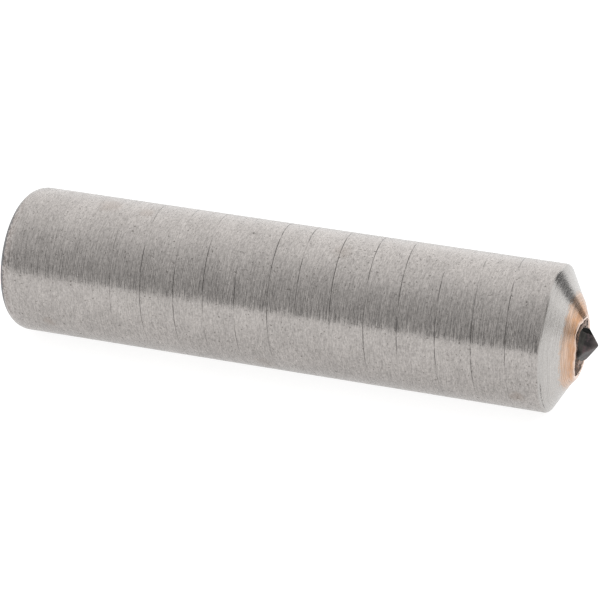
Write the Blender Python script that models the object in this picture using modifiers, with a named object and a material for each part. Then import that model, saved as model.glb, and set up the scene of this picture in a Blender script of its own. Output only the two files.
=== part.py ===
"""Single-point diamond dresser: a ground steel shank with a brazed-in diamond at its nose.

The tool lies along +X, rear face at the origin and stone pointing to +X, +Z up, in metres.
Every round piece is turned about its own local Z, which an empty lays along +X.
"""

import math
from itertools import product

import bmesh
import bpy
from mathutils import Matrix, Vector

# --- Shank ---------------------------------------------------------------------------------
SHANK_DIAMETER = 0.0127  # 1/2 in, the size that the dresser holder clamps
METAL_LENGTH = 0.0512  # rear face to nose rim, without the stone
REAR_EDGE_RADIUS = 0.0017
SHOULDER_RADIUS = 0.0003  # where the cylinder runs into the nose cone
NOSE_HALF_ANGLE = math.radians(60)  # between the cone and the tool's axis
DRILL_HALF_ANGLE = math.radians(59)  # an ordinary 118 degree drill point, at the socket's floor

# --- Stone -----------------------------------------------------------------------------------
STONE_LENGTH = 0.0040  # a rhombic dodecahedron, measured between opposite four-sided points
STONE_EXPOSURE = 0.00133  # point beyond the rim
TIP_WEAR = 0.00005  # taken off each four-sided point
CORNER_FACET_DEPTH = 0.00010  # taken off each three-sided corner

# --- Setting matrix --------------------------------------------------------------------------
MATRIX_WALL = 0.00044  # least matrix beside the stone
MATRIX_BASE = 0.0013  # matrix below the stone
CRATER_DEPTH = 0.00030  # the matrix's edge lies this far below the rim
MATRIX_CROWN = 0.00022  # and its top rises by this much towards the stone

# --- Braze -----------------------------------------------------------------------------------
RIM_LAND = 0.00012  # width of the flat lip at the rim, around the matrix
BRAZE_WALL = 0.00166  # braze beside the matrix, which sets the socket's diameter
BRAZE_FLOOR = 0.0025  # braze below the matrix, at the socket's full diameter
JOINT_GAP = 0.00005  # brazed joint, modelled as a thin clear space

# --- Mesh fineness ---------------------------------------------------------------------------
TURN_STEPS = 96
EDGE_ARC_STEPS = 8
CROWN_STEPS = 5
MERGE_DISTANCE = 1e-6

# --- Sizes that follow: radii, from the stone outwards -----------------------------------------
SHANK_RADIUS = SHANK_DIAMETER / 2
STONE_REACH = STONE_LENGTH / 2 - TIP_WEAR
MATRIX_RADIUS = STONE_REACH + MATRIX_WALL
POCKET_RADIUS = MATRIX_RADIUS + JOINT_GAP
RIM_RADIUS = POCKET_RADIUS + RIM_LAND
BRAZE_RADIUS = POCKET_RADIUS + BRAZE_WALL
SOCKET_RADIUS = BRAZE_RADIUS + JOINT_GAP

# --- Sizes that follow: distances from the rear face, from the point backwards -----------------
STONE_CENTRE = METAL_LENGTH + STONE_EXPOSURE - STONE_REACH
MATRIX_EDGE = METAL_LENGTH - CRATER_DEPTH
MATRIX_FLOOR = STONE_CENTRE - STONE_REACH - JOINT_GAP - MATRIX_BASE
POCKET_FLOOR = MATRIX_FLOOR - JOINT_GAP
SOCKET_SHOULDER = POCKET_FLOOR - BRAZE_FLOOR
SOCKET_POINT = SOCKET_SHOULDER - SOCKET_RADIUS / math.tan(DRILL_HALF_ANGLE)
BRAZE_POINT = SOCKET_POINT + JOINT_GAP / math.sin(DRILL_HALF_ANGLE)


def nose_height(radius):
    """Distance from the rear face to the nose cone at this radius."""
    return METAL_LENGTH - (radius - RIM_RADIUS) / math.tan(NOSE_HALF_ANGLE)


def drill_height(radius, point):
    """Distance from the rear face to a drill-point cone at this radius."""
    return point + radius / math.tan(DRILL_HALF_ANGLE)


def arc(centre, radius, start, end, steps):
    """Points (r, z) on an arc; angles run from +r towards +z."""
    angles = [start + (end - start) * i / steps for i in range(steps + 1)]
    return [(centre[0] + radius * math.cos(a), centre[1] + radius * math.sin(a)) for a in angles]


def material(name, colour, roughness, metallic):
    made = bpy.data.materials.new(name)
    made.use_nodes = True
    shader = made.node_tree.nodes["Principled BSDF"]
    shader.inputs["Base Color"].default_value = (*colour, 1)
    shader.inputs["Roughness"].default_value = roughness
    shader.inputs["Metallic"].default_value = metallic
    return made


def add_object(name, mesh, collection, axis, finish=None):
    made = bpy.data.objects.new(name, mesh)
    made.parent = axis
    collection.objects.link(made)
    if finish:
        mesh.materials.append(finish)
    return made


def turned(name, profile, collection, axis, finish):
    """A solid of revolution; the profile (r, z) runs down its outer side from axis to axis."""
    mesh = bpy.data.meshes.new(name)
    edges = [(i, i + 1) for i in range(len(profile) - 1)]
    mesh.from_pydata([(r, 0, z) for r, z in profile], edges, [])
    made = add_object(name, mesh, collection, axis, finish)
    screw = made.modifiers.new("turn", "SCREW")
    screw.axis = "Z"
    screw.steps = TURN_STEPS
    screw.render_steps = TURN_STEPS
    screw.use_merge_vertices = True
    screw.merge_threshold = MERGE_DISTANCE
    screw.use_smooth_shade = True
    return made


def shank_profile():
    """Socket floor, up the socket wall, then down the nose, the shoulder, the side and the rear."""
    shoulder_reach = SHOULDER_RADIUS * math.tan(NOSE_HALF_ANGLE / 2)
    shoulder = (SHANK_RADIUS - SHOULDER_RADIUS, nose_height(SHANK_RADIUS) - shoulder_reach)
    rear = (SHANK_RADIUS - REAR_EDGE_RADIUS, REAR_EDGE_RADIUS)
    return [
        (0, SOCKET_POINT),
        (SOCKET_RADIUS, SOCKET_SHOULDER),
        (SOCKET_RADIUS, nose_height(SOCKET_RADIUS)),
        *arc(shoulder, SHOULDER_RADIUS, NOSE_HALF_ANGLE, 0, EDGE_ARC_STEPS),
        *arc(rear, REAR_EDGE_RADIUS, 0, -math.pi / 2, EDGE_ARC_STEPS),
        (0, 0),
    ]


def braze_profile():
    """Pocket floor and wall, the lip at the rim, the cone, then down the joint to the drill point."""
    return [
        (0, POCKET_FLOOR),
        (POCKET_RADIUS, POCKET_FLOOR),
        (POCKET_RADIUS, METAL_LENGTH),
        (RIM_RADIUS, METAL_LENGTH),
        (BRAZE_RADIUS, nose_height(BRAZE_RADIUS)),
        (BRAZE_RADIUS, drill_height(BRAZE_RADIUS, BRAZE_POINT)),
        (0, BRAZE_POINT),
    ]


def matrix_profile():
    """A plug with a slightly crowned top."""
    sphere = (MATRIX_RADIUS**2 + MATRIX_CROWN**2) / (2 * MATRIX_CROWN)
    centre = (0, MATRIX_EDGE + MATRIX_CROWN - sphere)
    edge_angle = math.acos(MATRIX_RADIUS / sphere)
    crown = arc(centre, sphere, math.pi / 2, edge_angle, CROWN_STEPS)
    return [(0, crown[0][1]), *crown[1:], (MATRIX_RADIUS, MATRIX_FLOOR), (0, MATRIX_FLOOR)]


def crystal_mesh(name, grown_by=0.0):
    """A rhombic dodecahedron with its points and corners trimmed, all planes moved out by grown_by."""
    half = STONE_LENGTH / 2
    cuts = [
        ((1, 1, 0), half / math.sqrt(2)),
        ((1, 1, 1), half * math.sqrt(3) / 2 - CORNER_FACET_DEPTH),
    ]
    shape = bmesh.new()
    bmesh.ops.create_cube(shape, size=2 * (STONE_REACH + grown_by))
    for kind, distance in cuts:
        for direction in sorted(set(symmetric_directions(kind))):
            normal = Vector(direction).normalized()
            found = bmesh.ops.bisect_plane(
                shape,
                geom=[*shape.verts, *shape.edges, *shape.faces],
                plane_co=normal * (distance + grown_by),
                plane_no=normal,
                clear_outer=True,
            )
            rim = [item for item in found["geom_cut"] if isinstance(item, bmesh.types.BMEdge)]
            bmesh.ops.contextual_create(shape, geom=rim)
    bmesh.ops.recalc_face_normals(shape, faces=shape.faces)
    bmesh.ops.rotate(shape, verts=shape.verts, matrix=Matrix.Rotation(math.radians(45), 3, "Z"))
    mesh = bpy.data.meshes.new(name)
    shape.to_mesh(mesh)
    shape.free()
    return mesh


def symmetric_directions(kind):
    """Every direction that the cube's symmetry makes from this one."""
    for shift in range(3):
        cycled = kind[shift:] + kind[:shift]
        for signs in product((1, -1), repeat=3):
            yield tuple(sign * value for sign, value in zip(signs, cycled))


def cut_with(target, cutter):
    boolean = target.modifiers.new(cutter.name, "BOOLEAN")
    boolean.operation = "DIFFERENCE"
    boolean.solver = "EXACT"
    boolean.object = cutter


def new_collection(name):
    made = bpy.data.collections.new(name)
    bpy.context.scene.collection.children.link(made)
    return made


def build():
    for old in list(bpy.data.objects):
        bpy.data.objects.remove(old)

    parts = new_collection("diamond_dresser")
    cutters = new_collection("cutters")
    axis = bpy.data.objects.new("tool_axis", None)
    axis.rotation_euler = (0, math.pi / 2, 0)
    parts.objects.link(axis)

    steel = material("ground_steel", (0.56, 0.54, 0.52), 0.38, 1.0)
    copper = material("copper_braze", (0.78, 0.50, 0.36), 0.35, 1.0)
    powder = material("sintered_matrix", (0.16, 0.10, 0.07), 0.85, 0.3)
    stone = material("dark_diamond", (0.045, 0.042, 0.046), 0.12, 0.0)

    turned("shank", shank_profile(), parts, axis, steel)
    turned("braze_fill", braze_profile(), parts, axis, copper)
    matrix = turned("setting_matrix", matrix_profile(), parts, axis, powder)
    diamond = add_object("diamond", crystal_mesh("diamond"), parts, axis, stone)
    diamond.location.z = STONE_CENTRE

    seat = add_object("stone_seat", crystal_mesh("stone_seat", JOINT_GAP), cutters, axis)
    seat.location.z = STONE_CENTRE
    seat.hide_render = True
    seat.display_type = "WIRE"
    cut_with(matrix, seat)


build()
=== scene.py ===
"""Looks of the single-point diamond dresser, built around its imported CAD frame.

The tool lies along +X on its side, in metres. Each CAD node gets one finished piece: the ground
shank, the copper ring brazed into its nose, the grainy bed inside the ring, and the stone.
Angles round the tool are measured from -Y, the side that faces the camera, up towards +Z.
"""

import math
from itertools import product

import bmesh
import bpy
import numpy as np
from mathutils import Matrix, Vector, noise


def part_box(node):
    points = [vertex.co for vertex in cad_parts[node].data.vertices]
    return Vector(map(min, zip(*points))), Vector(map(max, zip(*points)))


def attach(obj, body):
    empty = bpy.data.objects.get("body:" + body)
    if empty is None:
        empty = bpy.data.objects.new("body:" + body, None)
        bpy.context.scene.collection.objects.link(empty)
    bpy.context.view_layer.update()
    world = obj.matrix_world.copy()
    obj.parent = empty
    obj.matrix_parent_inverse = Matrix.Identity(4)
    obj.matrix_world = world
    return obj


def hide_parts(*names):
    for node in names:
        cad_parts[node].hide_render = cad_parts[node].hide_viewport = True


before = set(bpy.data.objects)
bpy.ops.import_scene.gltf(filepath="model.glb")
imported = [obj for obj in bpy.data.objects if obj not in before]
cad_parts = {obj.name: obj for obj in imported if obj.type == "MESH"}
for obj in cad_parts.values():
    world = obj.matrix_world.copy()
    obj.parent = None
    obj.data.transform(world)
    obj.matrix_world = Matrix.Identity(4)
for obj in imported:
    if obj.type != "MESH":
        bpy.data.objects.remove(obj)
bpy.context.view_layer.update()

MM = 0.001
MICRON = 1e-6
FULL_TURN = 2 * math.pi

# --- Camera ----------------------------------------------------------------------------------
CAMERA_AZIMUTH = math.radians(19.506)
CAMERA_ELEVATION = math.radians(25.89)
CAMERA_DISTANCE = 272.6 * MM
CAMERA_TARGET = Vector((26.0 * MM, 0, -0.139 * MM))
CAMERA_LENS = 189.44
CAMERA_SENSOR = 36.0
CAMERA_CLIP = 10 * MM

# --- Ground shank ----------------------------------------------------------------------------
SHANK_COLUMNS = 256
CONE_RINGS = 16
REAR_ARC_STEPS = 14
REAR_FACE_RINGS = (0.8, 0.5, 0.2)  # shares of the flat face's radius
PLAIN_RING_PITCH = 0.6 * MM  # between the feed lines
PLAIN_RING_CLEAR = 0.25 * MM  # a plain ring this near a feed line is left out
PLAIN_RING_END_CLEAR = 0.3 * MM  # and so is one this near the cone
CONE_RING_CLEAR = 4 * MICRON  # between the cone's rings and its two edges

FEED_PITCH = 2.55 * MM  # step of the spiral that the grinding feed left, at the shank's rear
FEED_PITCH_GROWTH = 0.045 * MM  # added at each turn
FEED_START = 3.2 * MM
FEED_END_CLEAR = 1.2 * MM
FEED_WANDER = 0.13 * MM
FEED_HALF_WIDTH = 0.050 * MM
FEED_RINGS = (-1.6, -1, -0.5, 0, 0.5, 1, 1.6)  # mesh rings across a feed line, in half widths
FEED_DEPTH = 0.012 * MM
FEED_DEEP_SIDE = math.radians(58)  # the lines are cut deepest at this angle
FEED_DEEP_REACH = math.radians(55)  # and start to fade this far round from it
FEED_FADE_END = math.radians(95)
FEED_FADE = 0.75  # share of the depth that is lost beyond there
FEED_RING_SCALE = 1.6  # how often a line comes and goes, round the tool
FEED_SEAM = math.radians(225)  # where the spiral's turns step on to the next, low on the far side
FEED_SEAM_HALF = math.radians(14)

LAY_WAVER = 0.07  # how far the surface leans round the axis, from scratch to scratch
FINE_LAY = (0.085 * MM, 0.42 * MM)  # sizes of the scratches, across the lay and round the axis
BROAD_LAY = (0.20 * MM, 1.15 * MM)
RING_LAY = (0.075 * MM, 3.2 * MM)
RING_LAY_HEIGHT_SIDE, RING_LAY_HEIGHT_CONE = 7.0, 2.2  # beside the fine lay's height
MOTTLE_SIZE = 0.17 * MM
PIT_SIZE = 0.21 * MM
GROOVE_TEAR = (0.12 * MM, 0.9 * MM)  # sizes of the gaps in the grooves' painted shade, as for the scratches
CONE_LOOK_EDGE = (0.04 * MM, 0.16 * MM)  # past the side's end, its look turns into the cone's
CONE_WEAR_REACH = 1.6 * MM  # from the shoulder inwards, the cone brightens over this distance
CLOUD_SIZE = 3.4 * MM
SPIRAL_START = (0.2 * MM, 4 * MM)  # between these the even rings lean over into the spiral
SPIRAL_END = 3 * MM  # and over this distance before the nose they come back upright

REAR_TARNISH_EDGE = (1.90 * MM, 0.95 * MM)  # brown starts at the first, and is full at the second
REAR_SCALE_EDGE = (1.12 * MM, 0.80 * MM)  # the dark scale likewise
EDGE_SHADOW_ALONG = 49.16 * MM  # a painted edge shadow: a dark hairline low on the near side, just inside the nose cone
EDGE_SHADOW_EDGE = (0.10 * MM, 0.06 * MM)  # from its middle line
EDGE_SHADOW_TOP = (-1.2 * MM, -1.8 * MM)  # in z
EDGE_SHADOW_SIDE = (-3.8 * MM, -4.3 * MM)  # in y
SMEAR_START = 0.05 * MM  # copper is dragged out from this far outside the socket
SMEAR_SIZE = 0.42 * MM
SMEAR_EDGE = (-0.12 * MM, 0.06 * MM)

STAINS = [  # brown, soft-edged: (distance along, angle in degrees, reach, strength)
    (47.1 * MM, -30, 0.95 * MM, 0.32),
    (4.8 * MM, -30, 0.8 * MM, 0.26),
    (8.6 * MM, 88, 1.5 * MM, 0.24),
    (12.2 * MM, 84, 0.9 * MM, 0.22),
    (24.5 * MM, -42, 1.3 * MM, 0.16),
    (30.5 * MM, 72, 1.1 * MM, 0.16),
    (36.0 * MM, 170, 1.9 * MM, 0.28),
    (14.0 * MM, 215, 1.7 * MM, 0.24),
]
SMUDGES = [  # near black and small, with the same four values
    (1.0 * MM, 20, 0.75 * MM, 0.55),
    (1.2 * MM, 28, 0.50 * MM, 0.45),
    (3.75 * MM, 43.5, 0.19 * MM, 0.75),
    (4.00 * MM, 42.5, 0.16 * MM, 0.65),
    (22.3 * MM, 78, 0.20 * MM, 0.90),
    (31.3 * MM, 71, 0.17 * MM, 0.70),
    (28.3 * MM, 3, 0.15 * MM, 0.70),
    (47.3 * MM, 51, 0.14 * MM, 0.80),
    (49.2 * MM, -38, 0.16 * MM, 0.50),
]

# --- Copper ring -----------------------------------------------------------------------------
RING_COLUMNS = 288
RING_CONE_RINGS = 22
RING_OVERLAP = 0.02 * MM  # the copper is smeared this far over the joint
RING_PROUD = 2 * MICRON  # it lies this far above the CAD's cone
RING_EDGE = 4 * MICRON  # between the last two rings of its edge, which keeps the edge sharp
RING_SKIRT = 0.05 * MM  # its edge turns down into the joint by this much
LIP_RADIUS = 0.21 * MM
LIP_ARC_STEPS = 8
LIP_REACH = 0.36 * MM  # the pale part of the lip, fresh-cut copper with a painted highlight, outwards from the CAD's rim
LIP_RAGGED = 0.12 * MM
POCKET_TOP = 1.4 * MM  # below the rim by this much, the pocket keeps the CAD's radius
POCKET_RINGS = (0.3, 0.6, 0.85)  # shares of the way up from there to the lip
RIM_SHAPE = [  # the ring's inner edge, listed: (angle in degrees, radius, sag below the cone, in mm)
    (-90, 3.00, 0.00),
    (-60, 2.84, 0.00),
    (-38, 2.66, 0.00),
    (-12, 2.49, 0.00),
    (12, 2.43, 0.00),
    (36, 2.68, 0.00),
    (54, 2.53, 0.00),
    (72, 2.27, 0.00),
    (92, 2.13, 0.03),
    (110, 2.05, 0.12),
    (130, 2.02, 0.22),
    (150, 2.10, 0.27),
    (170, 2.20, 0.24),
    (200, 2.35, 0.18),
    (235, 2.70, 0.08),
]
RIM_ROUGHNESS = 0.035 * MM
RIM_EVENS_OUT = (0.3 * MM, 1.25 * MM)  # outside the CAD's rim, the uneven edge blends into the cone
RIM_DEEPENS = (1.3 * MM, 0.4 * MM)  # below the CAD's rim, the even pocket blends into the edge
LIP_EDGE = (-0.16 * MM, 0.14 * MM)  # soft edge of the pale lip, from its reach
LIP_DEPTH = (0.5 * MM, 0.2 * MM)  # below the CAD's rim, the dark pocket blends into the pale lip
COPPER_LAY = (0.11 * MM, 1.5 * MM)  # sizes of its scratches, across the lay and round the axis
COPPER_BANDS = (0.16 * MM, 1.4 * MM)  # and of its orange bands
COPPER_CLOUD_SIZE = 0.50 * MM

# --- Bed -------------------------------------------------------------------------------------
BED_COLUMNS = 240
BED_RINGS = 56
BED_OVERLAP = 0.05 * MM  # the bed's edge reaches this far into the ring
BED_RECESS = 0.12 * MM
BED_CROWN = 0.06 * MM
BED_LUMPS = 0.07 * MM
BED_LUMP_SIZE = 0.55 * MM
BED_GRAIN = 0.035 * MM
BED_GRAIN_SIZE = 0.17 * MM
BED_TONE_SIZE, BED_PATCH_SIZE, BED_FLECK_SIZE = 0.19 * MM, 0.5 * MM, 0.30 * MM
BED_SKIRT = 1.2 * MM  # from this far below the rim down, the plug has the pocket's width
BED_CLEARANCE = 0.04 * MM  # between the plug and the pocket's wall
FILLET_RISE = 0.06 * MM
FILLET_REACH = 0.42 * MM  # the bed's pale metal creeps this far out from the stone
FILLET_RAGGED = 0.10 * MM
SHADOW_GAP_SIDE = math.radians(8)  # there is none on this side of the stone, which stays dark as a painted shadow gap

# --- Stone -----------------------------------------------------------------------------------
STONE_DETAIL = 6  # subdivisions of an icosphere, which gives 20,480 triangles
STONE_SPIN = math.radians(50)
STONE_TILT = math.radians(3.2)
STONE_TURN = np.array(Matrix.Rotation(STONE_TILT, 3, "Y") @ Matrix.Rotation(STONE_SPIN, 3, "X"))
STONE_GIRTH = 1.10
STONE_STRETCH = np.array([1, STONE_GIRTH, STONE_GIRTH])
STONE_BEND = 0.93  # 1 for flat faces; less bends each face along its short diagonal
STONE_SHARPNESS = 42
STONE_BREAKS = [  # (degrees from the axis, degrees round it, distance from the centre, darkness of its painted dark reflection)
    (88, 117, 1.27 * MM, 0.0),
    (50, 88, 1.585 * MM, 1.0),
]
GROWTH_STEP = 0.09 * MM
ZONE_SIZE, VEIL_SIZE = 0.8 * MM, 0.40 * MM
GREY_EDGE = (1.05 * MM, 0.90 * MM)  # from its centre: between these it turns grey-green to the bed
TIP_EDGE = (1.25 * MM, 1.85 * MM)  # and between these it pales to its point

# --- Colours, linear red, green and blue -----------------------------------------------------
SIDE_DARK, SIDE_LIGHT = (0.375, 0.352, 0.336), (0.560, 0.526, 0.503)
CONE_DARK, CONE_LIGHT = (0.470, 0.450, 0.432), (0.610, 0.590, 0.570)
PIT = (0.110, 0.098, 0.088)
REAR_TARNISH = (0.215, 0.170, 0.150)
REAR_SCALE = (0.120, 0.128, 0.136)
STAIN = (0.260, 0.190, 0.145)
SMUDGE = (0.080, 0.072, 0.067)
# the next colour is painted shade in the feed grooves
GROOVE_SHADE = (0.060, 0.055, 0.052)
# the next colour is the painted edge shadow
EDGE_SHADOW = (0.110, 0.100, 0.095)
COPPER_SMEAR = (0.60, 0.47, 0.385)

COPPER_INNER, COPPER_OUTER = (0.570, 0.320, 0.188), (0.640, 0.480, 0.385)
COPPER_ORANGE = (0.680, 0.370, 0.175)
# the lip's colour: paler fresh-cut copper with a painted highlight
COPPER_LIP_PALE_AND_HIGHLIGHT = (0.860, 0.690, 0.600)
COPPER_STEEL = (0.530, 0.500, 0.475)

BED_DARK, BED_LIGHT = (0.012, 0.008, 0.006), (0.190, 0.115, 0.082)
BED_TAN = (0.260, 0.175, 0.140)
BED_FLECK = (0.480, 0.330, 0.225)
BED_PALE = (0.520, 0.400, 0.350)

STONE_DARK, STONE_LIGHT = (0.012, 0.009, 0.010), (0.075, 0.060, 0.058)
STONE_PLUM = (0.100, 0.058, 0.064)
STEP_DARK, STEP_LIGHT = (0.016, 0.016, 0.013), (0.052, 0.052, 0.044)
STONE_TIP = (0.105, 0.092, 0.084)
# the next colour is a painted dark reflection on a broken face
STONE_BREAK_DARK_REFLECTION = (0.003, 0.003, 0.002)

# --- Gloss and relief ------------------------------------------------------------------------
SIDE_ROUGHNESS, CONE_ROUGHNESS = (0.12, 0.38), (0.14, 0.30)  # least and most
COPPER_ROUGHNESS, BED_ROUGHNESS, STONE_ROUGHNESS = (0.19, 0.30), (0.55, 0.85), (0.34, 0.52)
PIT_ROUGHNESS = 0.3  # added to the steel's
STEEL_ANISOTROPY, COPPER_ANISOTROPY = 0.55, 0.4
STEEL_SPECULAR, BED_SPECULAR, STONE_SPECULAR, BREAK_SPECULAR = 0.05, 0.25, 0.40, 0.04
STONE_IOR = 1.55
STEEL_BUMP, COPPER_BUMP, BED_BUMP, STONE_BUMP = 6 * MICRON, 7 * MICRON, 30 * MICRON, 10 * MICRON

# --- Stage -----------------------------------------------------------------------------------
FLOOR_REACH = 4.0
FLOOR_BASE = 0.42
FLOOR_GLOW = 0.66  # what lights the tool from below
FLOOR_GLOW_SEEN = 0.84  # what the camera sees
CARD_DISTANCE = 75 * MM
CARD_AZIMUTHS = (46, 65)  # degrees from +X towards +Y
CARD_BASE = 0.02
CARD_GLOW = 0.15
CARD_TINT = (0.98, 0.98, 1.0)

DIM_SIDE = Vector((0.25, -0.96, 0.10)).normalized()
DIM_LEVELS = [  # (cosine of the angle from the dim side, brightness)
    (-1.0, 1.34),
    (-0.83, 1.30),
    (-0.11, 1.05),
    (0.15, 0.90),
    (0.37, 0.72),
    (0.64, 0.51),
    (0.76, 0.42),
    (0.85, 0.34),
    (0.92, 0.27),
    (1.0, 0.23),
]
STONE_SHADE = Vector((0.951, -0.027, 0.305)).normalized()  # the dim patch that the stone mirrors
STONE_SHADE_LIGHT = (0.36, 0.35, 0.34)
REAR_LIGHT = (0.95, 0.95, 0.95)
NOSE_LIGHT = (1.15, 1.15, 1.15)
WHITE = (1.0, 1.0, 1.0)


# ==== Measures taken from the CAD ============================================================


def turned_points(node):
    """(x, r) of a CAD node's vertices, without repeats, in order along the tool."""
    places = (v.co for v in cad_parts[node].data.vertices)
    return sorted({(round(p.x, 6), round(math.hypot(p.y, p.z), 6)) for p in places})


def points_at(points, along=None, radius=None):
    """Those of the (x, r) points that lie at this distance from the rear face or the axis."""
    kept = [p for p in points if along is None or abs(p[0] - along) < 5 * MICRON]
    return [p for p in kept if radius is None or abs(p[1] - radius) < 5 * MICRON]


shank_low, shank_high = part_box("shank")
braze_low, braze_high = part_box("braze_fill")
bed_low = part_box("setting_matrix")[0]
stone_low, stone_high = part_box("diamond")
shank_points = turned_points("shank")
braze_points = turned_points("braze_fill")

SHANK_RADIUS = shank_high.y
SIDE_END = max(x for x, r in points_at(shank_points, radius=SHANK_RADIUS))
NOSE_EDGE = shank_high.x
SOCKET_RADIUS = max(r for x, r in points_at(shank_points, along=NOSE_EDGE))
SOCKET_FLOOR = min(x for x, r in points_at(shank_points, radius=0) if x > 1 * MM)
SOCKET_SHOULDER = min(x for x, r in points_at(shank_points, radius=SOCKET_RADIUS))
REAR_EDGE_RADIUS = SHANK_RADIUS - max(r for x, r in points_at(shank_points, along=0))
METAL_LENGTH = braze_high.x
BRAZE_RADIUS = braze_high.y
BRAZE_SHOULDER = min(x for x, r in points_at(braze_points, radius=BRAZE_RADIUS))
RIM_RADIUS = max(r for x, r in points_at(braze_points, along=METAL_LENGTH))
POCKET_RADIUS = min(r for x, r in points_at(braze_points, along=METAL_LENGTH))
POCKET_FLOOR = min(x for x, r in points_at(braze_points, radius=POCKET_RADIUS))
CONE_SLOPE = (METAL_LENGTH - NOSE_EDGE) / (SOCKET_RADIUS - RIM_RADIUS)
STONE_CENTRE = (stone_low + stone_high) / 2
STONE_REACH = (stone_high.x - stone_low.x) / 2


def cone_height(radius):
    """Distance from the rear face to the nose cone at this radius."""
    return METAL_LENGTH - (radius - RIM_RADIUS) * CONE_SLOPE


# ==== Small helpers ==========================================================================


def cell_value(x, y):
    """A repeatable number from -1 to 1 for the unit square that holds this place."""
    return noise.cell(Vector((x, y, 0))) * 2 - 1


def smooth(value, start, end):
    """0 at start, 1 at end, eased between."""
    t = np.clip((value - start) / (end - start), 0, 1)
    return t * t * (3 - 2 * t)


def round_interpolate(angles, points, column):
    """Eased values between given points, which start with degrees, all the way round."""
    at = np.radians([p[0] for p in points])
    values = np.array([p[column] for p in points], float)
    at = np.append(at, at[0] + FULL_TURN)
    values = np.append(values, values[0])
    turned = (angles - at[0]) % FULL_TURN + at[0]
    index = np.clip(np.searchsorted(at, turned, side="right") - 1, 0, len(points) - 1)
    share = smooth((turned - at[index]) / (at[index + 1] - at[index]), 0, 1)
    return values[index] * (1 - share) + values[index + 1] * share


def angle_apart(angles, place):
    """How far each angle is from this place, the shorter way round."""
    turned = (angles - place) % FULL_TURN
    return np.minimum(turned, FULL_TURN - turned)


def noise_at(points, scale, octaves=1):
    """Smooth noise from about -1 to 1 at each of these points."""
    out = np.empty(len(points))
    for i, point in enumerate(points):
        p = Vector(point) * scale
        out[i] = noise.fractal(p, 1.0, 2.0, octaves) if octaves > 1 else noise.noise(p)
    return out


def arc(centre, radius, start, end, steps):
    """Points (x, r) on an arc; angles run from +r towards +x."""
    angles = [start + (end - start) * i / steps for i in range(steps + 1)]
    return [(centre[0] + radius * math.sin(a), centre[1] + radius * math.cos(a)) for a in angles]


def all_round(columns):
    return np.linspace(0, FULL_TURN, columns, endpoint=False)


def spread_round(stations, columns):
    """Distances along and radii of the stations (x, r), repeated for every column."""
    stations = np.array(stations)
    return np.repeat(stations[:, :1], columns, 1), np.repeat(stations[:, 1:], columns, 1)


def round_places(along, radius, angles):
    """Places on rings about the axis, as an array of rings by columns by xyz."""
    angles = np.broadcast_to(angles, along.shape)
    return np.stack([along, -radius * np.cos(angles), radius * np.sin(angles)], -1)


def turned_mesh(name, along, radius, angles):
    """A closed mesh from rings of (x, r); the first and last rings shrink to points on the axis."""
    rings, columns = along.shape
    places = round_places(along, radius, angles)[1:-1].reshape(-1, 3)
    poles = [(along[0].mean(), 0, 0), (along[-1].mean(), 0, 0)]
    first, last = len(places), len(places) + 1
    last_ring = (rings - 3) * columns
    faces = []
    for j in range(columns):
        k = (j + 1) % columns
        faces.append((first, k, j))
        faces.append((last, last_ring + j, last_ring + k))
        for i in range(rings - 3):
            a, b = i * columns, (i + 1) * columns
            faces.append((a + j, a + k, b + k, b + j))
    mesh = bpy.data.meshes.new(name)
    mesh.from_pydata([*map(tuple, places), *poles], [], faces)
    face_outwards(mesh)
    shade_smooth(mesh)
    return mesh


def face_outwards(mesh):
    shape = bmesh.new()
    shape.from_mesh(mesh)
    bmesh.ops.recalc_face_normals(shape, faces=shape.faces)
    shape.to_mesh(mesh)
    shape.free()


def shade_smooth(mesh):
    mesh.polygons.foreach_set("use_smooth", [True] * len(mesh.polygons))


def set_attribute(mesh, name, values):
    layer = mesh.attributes.new(name, "FLOAT", "POINT")
    layer.data.foreach_set("value", np.asarray(values, np.float32))


def set_ring_attribute(mesh, name, values):
    """One number for each ring and column of a turned mesh, and 0 at its two poles."""
    set_attribute(mesh, name, [*values[1:-1].reshape(-1), 0, 0])


def add_piece(name, mesh, finish, node):
    piece = bpy.data.objects.new(name, mesh)
    bpy.context.scene.collection.objects.link(piece)
    mesh.materials.append(finish)
    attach(piece, "root")
    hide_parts(node)


# ==== Shader helpers =========================================================================


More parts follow.
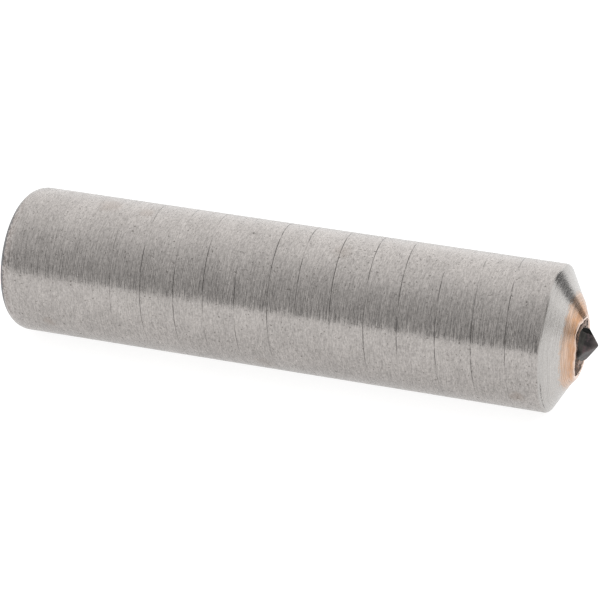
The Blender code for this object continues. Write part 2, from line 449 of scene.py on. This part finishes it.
class Graph:
    """Short calls that each add one shader node or two and return the output."""

    def __init__(self, tree):
        self.tree = tree

    def node(self, kind, **settings):
        made = self.tree.nodes.new(kind)
        for key, value in settings.items():
            setattr(made, key, value)
        return made

    def put(self, socket, value):
        if isinstance(value, bpy.types.NodeSocket):
            self.tree.links.new(value, socket)
        elif isinstance(value, tuple) and len(value) == 3 and socket.type == "RGBA":
            socket.default_value = (*value, 1)
        else:
            socket.default_value = value

    def math(self, operation, *values):
        made = self.node("ShaderNodeMath", operation=operation)
        for socket, value in zip(made.inputs, values):
            self.put(socket, value)
        return made.outputs[0]

    def plus(self, first, second):
        return self.math("ADD", first, second)

    def times(self, first, second):
        return self.math("MULTIPLY", first, second)

    def vector(self, operation, *values, out=0):
        made = self.node("ShaderNodeVectorMath", operation=operation)
        for socket, value in zip(made.inputs, values):
            self.put(socket, value)
        return made.outputs[out]

    def combine(self, x, y, z):
        made = self.node("ShaderNodeCombineXYZ")
        for socket, value in zip(made.inputs, (x, y, z)):
            self.put(socket, value)
        return made.outputs[0]

    def separate(self, vector):
        made = self.node("ShaderNodeSeparateXYZ")
        self.put(made.inputs[0], vector)
        return made.outputs

    def noise(self, vector, scale=1.0, detail=2.0):
        made = self.node("ShaderNodeTexNoise")
        self.put(made.inputs["Vector"], vector)
        made.inputs["Scale"].default_value = scale
        made.inputs["Detail"].default_value = detail
        return made.outputs["Fac"]

    def remap(self, value, low, high, to_low=0.0, to_high=1.0):
        """Eased from to_low to to_high as the value goes from low to high."""
        made = self.node("ShaderNodeMapRange")
        made.interpolation_type = "SMOOTHSTEP"
        for socket, item in zip(made.inputs, (value, low, high, to_low, to_high)):
            self.put(socket, item)
        return made.outputs[0]

    def ramp(self, value, stops):
        made = self.node("ShaderNodeValToRGB")
        self.put(made.inputs[0], value)
        points = made.color_ramp.elements
        while len(points) < len(stops):
            points.new(0.5)
        for point, (place, colour) in zip(points, stops):
            point.position = place
            point.color = (*colour, 1)
        return made.outputs[0]

    def mix(self, share, first, second):
        """Between two colours."""
        made = self.node("ShaderNodeMix", data_type="RGBA")
        self.put(made.inputs[0], share)
        self.put(made.inputs[6], first)
        self.put(made.inputs[7], second)
        return made.outputs[2]

    def blend(self, share, first, second):
        """Between two numbers."""
        step = self.math("SUBTRACT", second, first)
        return self.math("MULTIPLY_ADD", share, step, first)

    def scaled(self, colour, amount):
        made = self.node("ShaderNodeVectorMath", operation="SCALE")
        self.put(made.inputs[0], colour)
        self.put(made.inputs["Scale"], amount)
        return made.outputs[0]

    def vary(self, colour, share, low, high):
        """The colour times low to high as the share goes from 0 to 1."""
        return self.mix(share, self.scaled(colour, low), self.scaled(colour, high))

    def attribute(self, name):
        """A number that the mesh holds at its points."""
        return self.node("ShaderNodeAttribute", attribute_name=name).outputs["Fac"]

    def bump(self, height, distance, normal=None):
        made = self.node("ShaderNodeBump")
        made.inputs["Strength"].default_value = 1.0
        made.inputs["Distance"].default_value = distance
        self.put(made.inputs["Height"], height)
        if normal:
            self.put(made.inputs["Normal"], normal)
        return made.outputs[0]


class Finish(Graph):
    """A new material with its Principled shader and the tool's round coordinates."""

    def __init__(self, name):
        self.material = bpy.data.materials.new(name)
        self.material.use_nodes = True
        super().__init__(self.material.node_tree)
        self.shader = self.tree.nodes["Principled BSDF"]
        self.place = self.node("ShaderNodeTexCoord").outputs["Object"]
        self.x, self.y, self.z = self.separate(self.place)
        flat = self.combine(0.0, self.y, self.z)
        self.radius = self.vector("LENGTH", flat, out=1)
        self.lay = self.math("SUBTRACT", self.x, self.radius)  # grows to the nose, fastest up the cone

    def set(self, socket, value):
        self.put(self.shader.inputs[socket], value)

    def cloud(self, size, detail=2.0):
        """Noise with features of this size in metres."""
        return self.noise(self.place, 1 / size, detail)

    def streaks(self, across, around, detail=2.0):
        """Noise drawn out round the axis: across and around are its sizes in metres."""
        place = self.combine(
            self.times(self.lay, 1 / across),
            self.times(self.y, 1 / around),
            self.times(self.z, 1 / around),
        )
        return self.noise(place, detail=detail)

    def patch(self, along, angle, reach, ragged):
        """A soft-edged patch about one place on the shank, ragged by noise."""
        turn = math.radians(angle)
        centre = (along, -SHANK_RADIUS * math.cos(turn), SHANK_RADIUS * math.sin(turn))
        away = self.vector("DISTANCE", self.place, centre, out=1)
        wobble = self.cloud(reach / 2.2, detail=3.0)
        torn = self.math("MULTIPLY_ADD", wobble, 2 * ragged * reach, -ragged * reach)
        return self.remap(self.plus(away, torn), reach, 0.25 * reach)

    def grain_across_lay(self, amount):
        """Anisotropy of a surface whose scratches run round the axis."""
        tangent = self.node("ShaderNodeTangent", direction_type="RADIAL", axis="X")
        self.set("Tangent", tangent.outputs[0])
        self.set("Anisotropic", amount)
        self.set("Anisotropic Rotation", 0.25)


# ==== Materials ==============================================================================


class GroundSteel(Finish):
    """Steel ground round its circumference: fine lay, pits, stains and painted shade in the feed
    marks.
    """

    def __init__(self):
        super().__init__("ground_steel_look")
        self.fine = self.streaks(*FINE_LAY)
        self.broad = self.streaks(*BROAD_LAY, detail=3.0)
        self.rings = self.streaks(*RING_LAY)
        self.mottle = self.cloud(MOTTLE_SIZE)
        self.grain = self.plus(self.times(self.fine, 0.6), self.times(self.mottle, 0.4))
        self.on_cone = self.remap(self.x, *(SIDE_END + past for past in CONE_LOOK_EDGE))
        speckle = self.remap(self.cloud(PIT_SIZE, detail=1.0), 0.665, 0.74)
        self.pits = self.times(speckle, self.remap(self.on_cone, 1.0, 0.0))

        self.rear_reach = self.math("MULTIPLY_ADD", self.mottle, 0.7 * MM, self.x)
        self.on_rear_edge = self.remap(
            self.radius,
            SHANK_RADIUS - 0.95 * REAR_EDGE_RADIUS,
            SHANK_RADIUS - 0.72 * REAR_EDGE_RADIUS,
        )
        scale = self.remap(self.rear_reach, *REAR_SCALE_EDGE)
        self.rear_scale = self.times(scale, self.times(self.on_rear_edge, 0.75))

    def side_colour(self):
        colour = self.ramp(self.grain, [(0.37, SIDE_DARK), (0.61, SIDE_LIGHT)])
        colour = self.vary(colour, self.remap(self.broad, 0.34, 0.68), 0.93, 1.05)
        colour = self.vary(colour, self.remap(self.rings, 0.34, 0.66), 0.95, 1.03)
        cloud = self.cloud(CLOUD_SIZE, detail=3.0)
        return self.vary(colour, self.remap(cloud, 0.35, 0.70), 0.94, 1.03)

    def cone_colour(self):
        feed = self.plus(self.times(self.rings, 0.6), self.times(self.mottle, 0.4))
        colour = self.ramp(feed, [(0.37, CONE_DARK), (0.62, CONE_LIGHT)])
        worn = self.remap(self.radius, SHANK_RADIUS, SHANK_RADIUS - CONE_WEAR_REACH, 0.93, 1.02)
        return self.scaled(colour, worn)

    def tarnish_rear(self, colour):
        """Brown mottling over the rear rounding, and a dark scale on its last part."""
        brown = self.times(self.remap(self.rear_reach, *REAR_TARNISH_EDGE), self.on_rear_edge)
        brown = self.times(brown, self.remap(self.grain, 0.60, 0.42, 0.12, 0.62))
        colour = self.mix(brown, colour, REAR_TARNISH)
        return self.mix(self.rear_scale, colour, REAR_SCALE)

    def stain(self, colour):
        for along, angle, reach, strength in STAINS:
            share = self.times(self.patch(along, angle, reach, 0.5), strength)
            colour = self.mix(share, colour, STAIN)
        for along, angle, reach, strength in SMUDGES:
            share = self.times(self.patch(along, angle, reach, 0.6), strength)
            share = self.times(share, self.remap(self.fine, 0.62, 0.42, 0.3, 1.0))
            colour = self.mix(share, colour, SMUDGE)
        return colour

    def shade_grooves(self, colour):
        # painted shade: the feed grooves darkened in colour, with gaps
        torn = self.remap(self.streaks(*GROOVE_TEAR), 0.25, 0.55)
        return self.mix(self.times(self.attribute("groove_shade"), torn), colour, GROOVE_SHADE)

    def paint_edge_shadow(self, colour):
        # a painted edge shadow: a dark hairline low on the near side
        away = self.math("ABSOLUTE", self.math("SUBTRACT", self.x, EDGE_SHADOW_ALONG))
        away = self.math("MULTIPLY_ADD", self.mottle, 0.12 * MM, away)
        line = self.remap(away, *EDGE_SHADOW_EDGE)
        line = self.times(line, self.remap(self.z, *EDGE_SHADOW_TOP))
        line = self.times(line, self.remap(self.y, *EDGE_SHADOW_SIDE))
        return self.mix(self.times(line, 0.65), colour, EDGE_SHADOW)

    def smear_copper(self, colour):
        """Copper dragged out over the steel, just outside the ring."""
        inside = self.math("SUBTRACT", SOCKET_RADIUS + SMEAR_START, self.radius)
        reach = self.math("MULTIPLY_ADD", self.cloud(SMEAR_SIZE, detail=3.0), 0.62 * MM, -0.30 * MM)
        smear = self.remap(self.plus(inside, reach), *SMEAR_EDGE)
        smear = self.times(smear, self.on_cone)
        return self.mix(self.times(smear, 0.8), colour, COPPER_SMEAR)

    def roughness(self):
        lay = self.plus(self.times(self.rings, 0.6), self.times(self.fine, 0.4))
        side = self.remap(lay, 0.36, 0.64, *SIDE_ROUGHNESS)
        cone = self.remap(lay, 0.36, 0.64, *CONE_ROUGHNESS)
        return self.plus(self.blend(self.on_cone, side, cone), self.times(self.pits, PIT_ROUGHNESS))

    def ground_normal(self):
        """Bump of the lay, on a normal that wavers round the axis from scratch to scratch."""
        height = self.plus(self.fine, self.times(self.broad, 0.6))
        height = self.plus(height, self.times(self.mottle, 0.35))
        height = self.math("SUBTRACT", height, self.times(self.pits, 0.5))
        height = self.times(height, self.remap(self.on_cone, 0.0, 1.0, 1.0, 0.8))
        ridge = self.remap(self.on_cone, 0.0, 1.0, RING_LAY_HEIGHT_SIDE, RING_LAY_HEIGHT_CONE)
        height = self.plus(height, self.times(self.rings, ridge))
        waver = self.math("MULTIPLY_ADD", self.rings, LAY_WAVER, -0.5 * LAY_WAVER)
        round_way = self.combine(0.0, self.times(self.z, -1.0), self.y)
        round_way = self.vector("NORMALIZE", round_way)
        normal = self.node("ShaderNodeNewGeometry").outputs["Normal"]
        normal = self.vector("ADD", normal, self.scaled(round_way, waver))
        return self.bump(height, STEEL_BUMP, self.vector("NORMALIZE", normal))


def steel_finish():
    m = GroundSteel()
    colour = m.mix(m.on_cone, m.side_colour(), m.cone_colour())
    colour = m.mix(m.times(m.pits, 0.50), colour, PIT)
    colour = m.tarnish_rear(colour)
    colour = m.stain(colour)
    colour = m.shade_grooves(colour)
    colour = m.paint_edge_shadow(colour)
    colour = m.smear_copper(colour)
    m.set("Base Color", colour)
    m.set("Metallic", m.remap(m.rear_scale, 0.0, 0.8, 1.0, 0.0))
    m.set("Specular IOR Level", STEEL_SPECULAR)
    m.set("Roughness", m.roughness())
    m.grain_across_lay(STEEL_ANISOTROPY)
    m.set("Normal", m.ground_normal())
    return m.material


def copper_finish():
    """Copper braze turned with the cone: rings of peach and orange, a paler lip that is partly
    fresh-cut copper and partly a painted highlight.
    """
    m = Finish("copper_braze_look")
    ring = m.streaks(*COPPER_LAY, detail=4.0)
    cloud = m.cloud(COPPER_CLOUD_SIZE, detail=3.0)
    across = m.math("MULTIPLY_ADD", cloud, 0.9 * MM, m.radius)
    tone = m.remap(across, RIM_RADIUS + 0.55 * MM, SOCKET_RADIUS + 0.25 * MM)
    colour = m.mix(tone, COPPER_INNER, COPPER_OUTER)
    colour = m.vary(colour, m.remap(ring, 0.34, 0.66), 0.78, 1.18)
    band = m.streaks(*COPPER_BANDS, detail=3.0)
    orange = m.times(m.remap(band, 0.47, 0.62), 0.70)
    orange = m.times(orange, m.remap(tone, 0.0, 1.0, 1.0, 0.35))
    colour = m.mix(orange, colour, COPPER_ORANGE)
    # the lip: partly paler fresh-cut copper, partly a painted highlight
    colour = m.mix(m.attribute("lip"), colour, COPPER_LIP_PALE_AND_HIGHLIGHT)
    edge = m.math("MULTIPLY_ADD", m.cloud(0.34 * MM, detail=3.0), 0.75 * MM, m.radius)
    steel = m.remap(edge, SOCKET_RADIUS + 0.24 * MM, SOCKET_RADIUS + 0.42 * MM)
    m.set("Base Color", m.mix(steel, colour, COPPER_STEEL))
    m.set("Metallic", 1.0)
    m.set("Roughness", m.remap(cloud, 0.3, 0.7, *COPPER_ROUGHNESS))
    m.grain_across_lay(COPPER_ANISOTROPY)
    m.set("Normal", m.bump(m.plus(ring, m.times(cloud, 0.8)), COPPER_BUMP))
    return m.material


def bed_finish():
    """Dark brown powder metal with tan and coppery flecks, paler against the stone except on one side,
    kept dark there as a painted shadow gap.
    """
    m = Finish("sintered_bed_look")
    grain = m.cloud(BED_TONE_SIZE, detail=3.0)
    lump = m.cloud(BED_PATCH_SIZE)
    colour = m.ramp(grain, [(0.40, BED_DARK), (0.60, BED_LIGHT)])
    colour = m.mix(m.remap(lump, 0.50, 0.68, 0.0, 0.6), colour, BED_TAN)
    cells = m.node("ShaderNodeTexVoronoi")
    m.put(cells.inputs["Vector"], m.place)
    cells.inputs["Scale"].default_value = 1 / BED_FLECK_SIZE
    fleck = m.remap(cells.outputs["Distance"], 0.30, 0.16)
    fleck = m.times(fleck, m.remap(lump, 0.47, 0.56))
    colour = m.mix(fleck, colour, BED_FLECK)
    pale = m.times(m.attribute("fillet"), m.remap(grain, 0.42, 0.56))
    m.set("Base Color", m.mix(pale, colour, BED_PALE))
    m.set("Metallic", m.times(fleck, 0.5))
    m.set("Roughness", m.remap(grain, 0.3, 0.7, *BED_ROUGHNESS))
    m.set("Specular IOR Level", BED_SPECULAR)
    m.set("Normal", m.bump(grain, BED_BUMP))
    return m.material


def stone_finish():
    """Dark natural crystal: plum and grey-green zones, growth steps, a slightly frosted skin."""
    m = Finish("dark_diamond_look")
    zone = m.cloud(ZONE_SIZE)
    veil = m.cloud(VEIL_SIZE)
    own_x = m.attribute("own_x")
    stepped = m.combine(
        m.times(own_x, 1 / GROWTH_STEP),
        m.times(m.y, 1 / ZONE_SIZE),
        m.times(m.z, 1 / ZONE_SIZE),
    )
    steps = m.noise(stepped)
    colour = m.ramp(zone, [(0.36, STONE_DARK), (0.64, STONE_LIGHT)])
    colour = m.mix(m.times(m.remap(veil, 0.50, 0.66), 0.7), colour, STONE_PLUM)
    grey = m.mix(m.remap(steps, 0.35, 0.65), STEP_DARK, STEP_LIGHT)
    colour = m.mix(m.times(m.attribute("grey"), 0.75), colour, grey)
    colour = m.mix(m.remap(own_x, *TIP_EDGE, 0.0, 0.5), colour, STONE_TIP)
    # painted dark reflection: the broken face near-black and less glossy
    break_dark_reflection = m.attribute("break_dark_reflection")
    m.set("Base Color", m.mix(break_dark_reflection, colour, STONE_BREAK_DARK_REFLECTION))
    m.set("Roughness", m.remap(veil, 0.3, 0.7, *STONE_ROUGHNESS))
    m.set("IOR", STONE_IOR)
    m.set("Specular IOR Level", m.remap(break_dark_reflection, 0.0, 1.0, STONE_SPECULAR, BREAK_SPECULAR))
    m.set("Normal", m.bump(m.plus(steps, m.times(zone, 0.6)), STONE_BUMP))
    return m.material


# ==== Shank ==================================================================================


def feed_lines():
    """Distances along the shank of the feed spiral's turns, each slightly off its even place."""
    lines = []
    place = FEED_START
    while place < SIDE_END - FEED_END_CLEAR:
        turn = len(lines)
        lines.append(place + FEED_WANDER * cell_value(turn * 1.7 + 0.5, 3.6))
        place += FEED_PITCH + turn * FEED_PITCH_GROWTH
    return lines


def side_rings():
    """Distances of the rings down the cylinder: seven at each feed line, and plain ones between."""
    lines = feed_lines()
    rings = [line + step * FEED_HALF_WIDTH for line in lines for step in FEED_RINGS]
    start, end = REAR_EDGE_RADIUS + PLAIN_RING_PITCH, SIDE_END - PLAIN_RING_END_CLEAR
    plain = np.arange(start, end, PLAIN_RING_PITCH)
    rings += [x for x in plain if min(abs(x - line) for line in lines) > PLAIN_RING_CLEAR]
    return sorted([*rings, REAR_EDGE_RADIUS, SIDE_END], reverse=True)


def shank_stations():
    """(x, r) from the socket floor up its wall, down the nose, the side and the rear."""
    shoulder = [p for p in shank_points if p[0] > SIDE_END and p[1] > SOCKET_RADIUS + 10 * MICRON]
    inner, outer = SOCKET_RADIUS + CONE_RING_CLEAR, shoulder[-1][1] - CONE_RING_CLEAR
    cone_radii = np.linspace(inner, outer, CONE_RINGS)
    rear_centre = (REAR_EDGE_RADIUS, SHANK_RADIUS - REAR_EDGE_RADIUS)
    return [
        (SOCKET_FLOOR, 0.0),
        (SOCKET_SHOULDER, SOCKET_RADIUS),
        (NOSE_EDGE, SOCKET_RADIUS),
        *[(cone_height(r), r) for r in cone_radii],
        *shoulder[::-1],
        *[(x, SHANK_RADIUS) for x in side_rings()],
        *arc(rear_centre, REAR_EDGE_RADIUS, 0, -math.pi / 2, REAR_ARC_STEPS)[1:],
        *[(0.0, rear_centre[1] * share) for share in REAR_FACE_RINGS],
        (0.0, 0.0),
    ]


def groove_strength(angles, turns):
    """How deep each turn of the feed spiral is cut at each angle, from 0 to 1."""
    away = angle_apart(angles, FEED_DEEP_SIDE)
    facing = 1 - FEED_FADE * smooth(away, FEED_DEEP_REACH, FEED_FADE_END)
    circle = [(math.cos(a) * FEED_RING_SCALE, math.sin(a) * FEED_RING_SCALE) for a in angles]
    strength = np.empty((turns, len(angles)))
    for turn in range(turns):
        cut = smooth(noise_at([(*place, turn * 2.3) for place in circle], 1.0, 2), -0.50, 0.15)
        strength[turn] = cut * facing * smooth(turn, 1.2, 4.5)
    return strength


def build_shank():
    stations = shank_stations()
    angles = all_round(SHANK_COLUMNS)
    along, radius = spread_round(stations, SHANK_COLUMNS)
    on_side = np.abs(radius - SHANK_RADIUS) < 1 * MICRON

    from_seam = (angles - FEED_SEAM) % FULL_TURN
    seam = angle_apart(angles, FEED_SEAM)
    whole = smooth(seam, 0.2 * FEED_SEAM_HALF, FEED_SEAM_HALF)
    lines = np.array(feed_lines())
    nearest = np.abs(along[:, :1] - lines).argmin(1)
    distance = np.abs(along[:, 0] - lines[nearest]) / FEED_HALF_WIDTH
    profile = on_side * np.clip(1 - distance**2, 0, 1)[:, None]
    groove = profile * groove_strength(angles, len(lines))[nearest] * whole

    ends = smooth(along, *SPIRAL_START) * smooth(along, SIDE_END, SIDE_END - SPIRAL_END)
    turned = from_seam / FULL_TURN - 0.5
    shift = -turned * FEED_PITCH * smooth(seam, 0, FEED_SEAM_HALF) * ends * on_side
    mesh = turned_mesh("shank_body", along + shift, radius - FEED_DEPTH * groove, angles)
    # the grooves' depth also sets their painted shade
    set_ring_attribute(mesh, "groove_shade", groove)
    add_piece("shank_body", mesh, steel_finish(), "shank")


# ==== Copper ring ============================================================================


def rim_radius(angles):
    """Inner edge of the copper ring: the given outline with a slightly broken edge."""
    shape = round_interpolate(angles, RIM_SHAPE, 1) * MM
    places = np.stack([np.cos(angles) * 2.5, np.sin(angles) * 2.5, angles * 0], -1)
    return shape + RIM_ROUGHNESS * noise_at(places, 2.4, 3)


def rim_sag(angles):
    """How far the ring's inner edge has sagged below the cone."""
    return round_interpolate(angles, RIM_SHAPE, 2) * MM


def ring_stations():
    """(x, r) up the pocket, over the lip, down the cone, then back down the socket to its floor."""
    wall = METAL_LENGTH - POCKET_TOP
    lip_centre = (METAL_LENGTH - LIP_RADIUS, RIM_RADIUS + LIP_RADIUS)
    lip = arc(lip_centre, LIP_RADIUS, math.pi, math.atan(CONE_SLOPE), LIP_ARC_STEPS)
    lip_drop = cone_height(lip[-1][1]) - lip[-1][0]
    outer = np.linspace(lip[-1][1], SOCKET_RADIUS + RING_OVERLAP, RING_CONE_RINGS)[1:]
    fall = lip_drop * np.linspace(1, 0, len(outer))
    edge = outer[-1] + RING_EDGE
    return [
        (POCKET_FLOOR, 0.0),
        (POCKET_FLOOR, POCKET_RADIUS),
        (wall, POCKET_RADIUS),
        *[(wall + (lip[0][0] - wall) * share, RIM_RADIUS) for share in POCKET_RINGS],
        *lip,
        *[(cone_height(r) + RING_PROUD - f, r) for r, f in zip(outer, fall)],
        (cone_height(edge) + RING_PROUD, edge),
        (cone_height(edge) - RING_SKIRT, BRAZE_RADIUS),
        (BRAZE_SHOULDER, BRAZE_RADIUS),
        (braze_low.x, 0.0),
    ]


def build_ring():
    angles = all_round(RING_COLUMNS)
    along, radius = spread_round(ring_stations(), RING_COLUMNS)
    change = rim_radius(angles) - RIM_RADIUS
    near_rim = 1 - smooth(radius, *(RIM_RADIUS + reach for reach in RIM_EVENS_OUT))
    near_top = smooth(along, *(METAL_LENGTH - depth for depth in RIM_DEEPENS))
    moved = change * near_rim * near_top
    sunk = moved * CONE_SLOPE + rim_sag(angles) * near_rim
    mesh = turned_mesh("braze_ring", along - sunk * near_top, radius + moved, angles)

    # mask of the pale lip: fresh-cut copper with a painted highlight
    worn = noise_at([(math.cos(a) * 3, math.sin(a) * 3, 0) for a in angles], 1.0, 2)
    reach = RIM_RADIUS + LIP_REACH + LIP_RAGGED * worn
    lip = 1 - smooth(radius - reach, *LIP_EDGE)
    lip = lip * smooth(along, *(METAL_LENGTH - depth for depth in LIP_DEPTH))
    set_ring_attribute(mesh, "lip", lip)
    add_piece("braze_ring", mesh, copper_finish(), "braze_fill")


# ==== Bed ====================================================================================


def stone_distance(places):
    """How far these places lie outside the stone."""
    own = (places - np.array(STONE_CENTRE)) @ STONE_TURN / STONE_STRETCH
    length = np.linalg.norm(own, axis=1)
    own /= np.maximum(length, 1 * MICRON)[:, None]
    return length - stone_radii(own) * STONE_REACH


def bed_fillet(top, radius, angles, lumps):
    """Where the bed creeps up the stone: 1 against it, 0 a little way off and on the bare side, which
    stays dark as a painted shadow gap.
    """
    places = round_places(top, radius, angles).reshape(-1, 3)
    away = stone_distance(places).reshape(top.shape) + FILLET_RAGGED * lumps
    fillet = smooth(away, FILLET_REACH, 0.3 * FILLET_REACH)
    # on this side the bed stays dark, a painted shadow gap
    return fillet * (1 - smooth(np.cos(angles - SHADOW_GAP_SIDE), 0.35, 0.8))


def build_bed():
    """A plug whose grainy top just fills the opening and creeps up the stone a little."""
    angles = all_round(BED_COLUMNS)
    shares = np.linspace(0, 1, BED_RINGS)[:, None]
    radius = shares * (rim_radius(angles) + BED_OVERLAP)
    middle = METAL_LENGTH - BED_RECESS + BED_CROWN
    lip_height = cone_height(rim_radius(angles)) - rim_sag(angles)
    top = middle + (lip_height - BED_RECESS - middle) * shares**5
    flat = round_places(np.zeros(radius.shape), radius, angles).reshape(-1, 3)
    lumps = noise_at(flat, 1 / BED_LUMP_SIZE, 2).reshape(radius.shape)
    grain = noise_at(flat, 1 / BED_GRAIN_SIZE, 2).reshape(radius.shape)
    fillet = bed_fillet(top, radius, angles, lumps)
    along = top + BED_LUMPS * lumps + BED_GRAIN * np.abs(grain) + FILLET_RISE * fillet

    body = POCKET_RADIUS - BED_CLEARANCE
    plug = [(METAL_LENGTH - BED_SKIRT, body), (bed_low.x, body), (bed_low.x, 0.0)]
    plug_along, plug_radius = spread_round(plug, BED_COLUMNS)
    along = np.concatenate([along, plug_along])
    radius = np.concatenate([radius, plug_radius])
    mesh = turned_mesh("setting_bed", along, radius, angles)
    set_ring_attribute(mesh, "fillet", np.concatenate([fillet, 0 * plug_along]))
    add_piece("setting_bed", mesh, bed_finish(), "setting_matrix")


# ==== Stone ==================================================================================


def symmetric_directions(kind):
    """Every direction that the cube's symmetry makes from this one."""
    for shift in range(3):
        cycled = kind[shift:] + kind[:shift]
        for signs in product((1, -1), repeat=3):
            yield tuple(sign * value for sign, value in zip(signs, cycled))


def stone_normals():
    """The crystal's 24 face directions in its own frame."""
    kinds = (1, STONE_BEND, 0), (STONE_BEND, 1, 0)
    found = {direction for kind in kinds for direction in symmetric_directions(kind)}
    normals = np.array(sorted(found), float)
    return normals / np.linalg.norm(normals, axis=1, keepdims=True)


def stone_radii(directions):
    """Distance from the crystal's centre to its rounded faces, 1 at its four-sided points."""

    def reach(vectors):
        facing = np.clip(vectors @ stone_normals().T, 0, None)
        return (facing**STONE_SHARPNESS).sum(1) ** (-1 / STONE_SHARPNESS)

    return reach(directions) / reach(np.array([[1.0, 0.0, 0.0]]))


def break_planes():
    """(normal, distance, darkness) of each broken face; darkness, a painted dark reflection, runs from
    0, as the stone, to 1.
    """
    for lean, angle, distance, darkness in STONE_BREAKS:
        lean, angle = math.radians(lean), math.radians(angle)
        side = (-math.cos(angle), math.sin(angle))
        normal = np.array([math.cos(lean), math.sin(lean) * side[0], math.sin(lean) * side[1]])
        yield normal, distance, darkness


def build_stone():
    """A rounded rhombic dodecahedron standing on a four-sided point, with two broken places."""
    shape = bmesh.new()
    bmesh.ops.create_icosphere(shape, subdivisions=STONE_DETAIL, radius=1.0)
    mesh = bpy.data.meshes.new("stone")
    shape.to_mesh(mesh)
    shape.free()
    directions = np.array([v.co[:] for v in mesh.vertices])
    directions /= np.linalg.norm(directions, axis=1, keepdims=True)
    own = directions * stone_radii(directions)[:, None] * STONE_STRETCH * STONE_REACH
    places = own @ STONE_TURN.T
    break_dark_reflection = np.zeros(len(places))
    for normal, distance, darkness in break_planes():
        beyond = places @ normal
        cut = beyond > distance
        places[cut] *= (distance / beyond[cut])[:, None]
        # the broken face's painted dark reflection
        break_dark_reflection[cut] = darkness
    places += np.array(STONE_CENTRE)
    mesh.vertices.foreach_set("co", places.reshape(-1))
    shade_smooth(mesh)
    mesh.update()
    set_attribute(mesh, "break_dark_reflection", break_dark_reflection)
    set_attribute(mesh, "own_x", own[:, 0])
    set_attribute(mesh, "grey", smooth(own[:, 0], *GREY_EDGE))
    add_piece("stone", mesh, stone_finish(), "diamond")


# ==== Stage ==================================================================================


def add_camera():
    back = Vector(
        (
            math.sin(CAMERA_AZIMUTH) * math.cos(CAMERA_ELEVATION),
            -math.cos(CAMERA_AZIMUTH) * math.cos(CAMERA_ELEVATION),
            math.sin(CAMERA_ELEVATION),
        )
    )
    lens = bpy.data.cameras.new("camera")
    lens.lens = CAMERA_LENS
    lens.sensor_width = CAMERA_SENSOR
    lens.clip_start = CAMERA_CLIP
    camera = bpy.data.objects.new("camera", lens)
    camera.location = CAMERA_TARGET + back * CAMERA_DISTANCE
    camera.rotation_euler = (-back).to_track_quat("-Z", "Y").to_euler()
    bpy.context.scene.collection.objects.link(camera)
    bpy.context.scene.camera = camera


def glowing_finish(name, base, glow):
    """A matte grey that also gives off light; returns its material and shader."""
    finish = bpy.data.materials.new(name)
    finish.use_nodes = True
    shader = finish.node_tree.nodes["Principled BSDF"]
    shader.inputs["Base Color"].default_value = (base, base, base, 1)
    shader.inputs["Specular IOR Level"].default_value = 0.0
    shader.inputs["Emission Color"].default_value = (*glow, 1)
    return finish, shader


def flat_piece(name, corners, finish):
    mesh = bpy.data.meshes.new(name)
    mesh.from_pydata(corners, [], [tuple(range(len(corners)))])
    mesh.materials.append(finish)
    made = bpy.data.objects.new(name, mesh)
    bpy.context.scene.collection.objects.link(made)
    return made


def add_floor():
    """A pale floor that glows a little, like a light table, so that shadows stay faint."""
    finish, shader = glowing_finish("pale_floor", FLOOR_BASE, WHITE)
    shader.inputs["Roughness"].default_value = 1.0
    g = Graph(finish.node_tree)
    seen = g.node("ShaderNodeLightPath").outputs["Is Camera Ray"]
    g.put(shader.inputs["Emission Strength"], g.remap(seen, 0.0, 1.0, FLOOR_GLOW, FLOOR_GLOW_SEEN))
    sides = ((1, 1), (-1, 1), (-1, -1), (1, -1))
    corners = [(FLOOR_REACH * x, FLOOR_REACH * y, shank_low.z) for x, y in sides]
    flat_piece("floor", corners, finish)


def add_dark_card():
    """A narrow dark card on the far right, seen only as a stripe in the cone."""
    finish, shader = glowing_finish("dark_card", CARD_BASE, CARD_TINT)
    shader.inputs["Emission Strength"].default_value = CARD_GLOW
    start, end = (math.radians(azimuth) for azimuth in CARD_AZIMUTHS)
    low, high = shank_low.z, CARD_DISTANCE
    corners = []
    for azimuth, height in ((start, low), (end, low), (end, high), (start, high)):
        across, away = CARD_DISTANCE * math.cos(azimuth), CARD_DISTANCE * math.sin(azimuth)
        corners.append((METAL_LENGTH + across, away, height))
    card = flat_piece("dark_card", corners, finish)
    card.visible_camera = False
    card.visible_diffuse = False
    card.visible_shadow = False


def add_studio_light():
    """Soft light from all round: darker in front, brighter above and behind; white to the camera."""
    world = bpy.data.worlds.new("studio")
    bpy.context.scene.world = world
    world.use_nodes = True
    g = Graph(world.node_tree)
    sight = g.node("ShaderNodeTexCoord").outputs["Generated"]
    facing = g.vector("DOT_PRODUCT", sight, tuple(DIM_SIDE), out=1)
    spread = g.math("MULTIPLY_ADD", facing, 0.5, 0.5)
    soft = g.ramp(spread, [((at + 1) / 2, (level, level, level)) for at, level in DIM_LEVELS])
    along = g.separate(sight)[0]
    soft = g.mix(g.remap(along, -0.26, -0.40, 0.0, 0.32), soft, REAR_LIGHT)
    soft = g.mix(g.remap(along, 0.38, 0.62), soft, NOSE_LIGHT)
    shade = g.vector("DOT_PRODUCT", sight, tuple(STONE_SHADE), out=1)
    soft = g.mix(g.remap(shade, 0.86, 0.96), soft, STONE_SHADE_LIGHT)
    seen = g.node("ShaderNodeLightPath").outputs["Is Camera Ray"]
    background = world.node_tree.nodes["Background"]
    g.put(background.inputs["Color"], g.mix(seen, soft, WHITE))
    g.put(background.inputs["Strength"], 1.0)


bpy.context.scene.view_settings.view_transform = "Standard"
add_camera()
add_studio_light()
add_floor()
add_dark_card()
build_shank()
build_ring()
build_bed()
build_stone()
